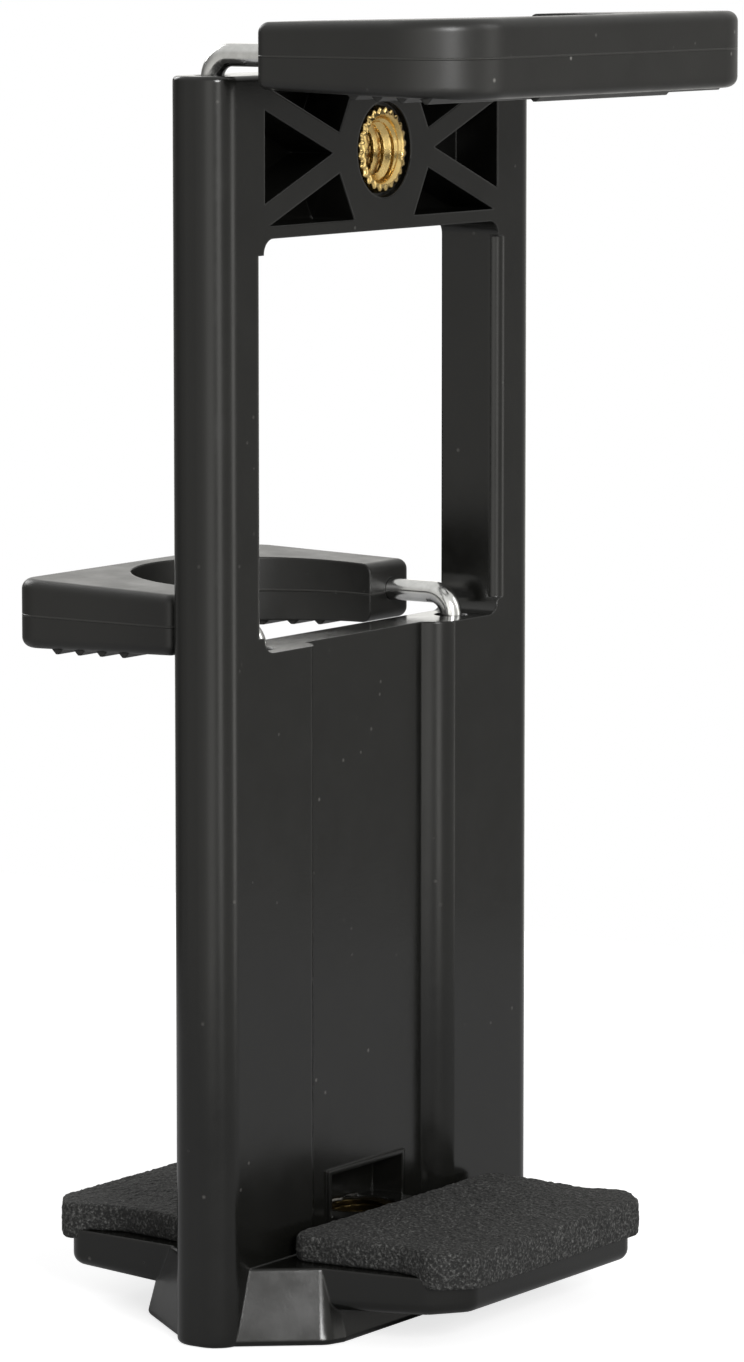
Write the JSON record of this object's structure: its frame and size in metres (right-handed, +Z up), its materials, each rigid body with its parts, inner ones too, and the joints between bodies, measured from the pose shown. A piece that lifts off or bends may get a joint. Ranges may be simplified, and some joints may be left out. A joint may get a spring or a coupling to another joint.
{
  "type": "tripod phone and tablet mount adapter",
  "caption": "Upright spring-loaded holder for a tripod: a wide jaw for a tablet in front, a narrower one for a phone behind, padded feet and threaded sockets below and at the top.",
  "frame": {"origin": "centre of the lower threaded socket's mouth, in the plane of the base's underside", "axes": "+Z up along the sliding rods, -Y towards the tablet side and its jaw, +Y towards the phone side and its jaw, X across the width"},
  "size_m": [0.0576, 0.0595, 0.1327],
  "materials": {
    "body_plastic": "near-black ABS with a soft sheen",
    "arm_plastic": "near-black ABS, satin",
    "foam": "closed-cell foam, dull",
    "brass": "turned and knurled",
    "rod_steel": "bright drawn wire",
    "spring_steel": "spring wire",
    "screw_steel": "blackened"
  },
  "bodies": {
    "body": {"frame": "body_plastic", "base_cover": "body_plastic", "top_socket": "brass", "base_socket": "brass", "front_foam_pad": "foam", "rear_foam_pad": "foam", "cover_screw_1": "screw_steel", "cover_screw_2": "screw_steel", "cover_screw_3": "screw_steel", "cover_screw_4": "screw_steel", "tablet_spring_left": "spring_steel", "tablet_spring_right": "spring_steel", "phone_spring_left": "spring_steel", "phone_spring_right": "spring_steel"},
    "tablet_jaw": {"tablet_arm": "arm_plastic", "tablet_rod_left": "rod_steel", "tablet_rod_right": "rod_steel", "tablet_collar_left": "screw_steel", "tablet_collar_right": "screw_steel"},
    "phone_jaw": {"phone_arm": "arm_plastic", "phone_rod_left": "rod_steel", "phone_rod_right": "rod_steel", "phone_collar_left": "screw_steel", "phone_collar_right": "screw_steel"}
  },
  "joints": [
    {"name": "tablet_slide", "type": "slide", "parent": "body", "child": "tablet_jaw", "axis": [0, 0, 1], "range_m": [0, 0.08], "stiffness_N_per_m": 60, "springref_m": -0.05, "deforming": ["tablet_spring_left", "tablet_spring_right"]},
    {"name": "phone_slide", "type": "slide", "parent": "body", "child": "phone_jaw", "axis": [0, 0, 1], "range_m": [0, 0.036], "stiffness_N_per_m": 120, "springref_m": -0.03, "deforming": ["phone_spring_left", "phone_spring_right"]}
  ]
}
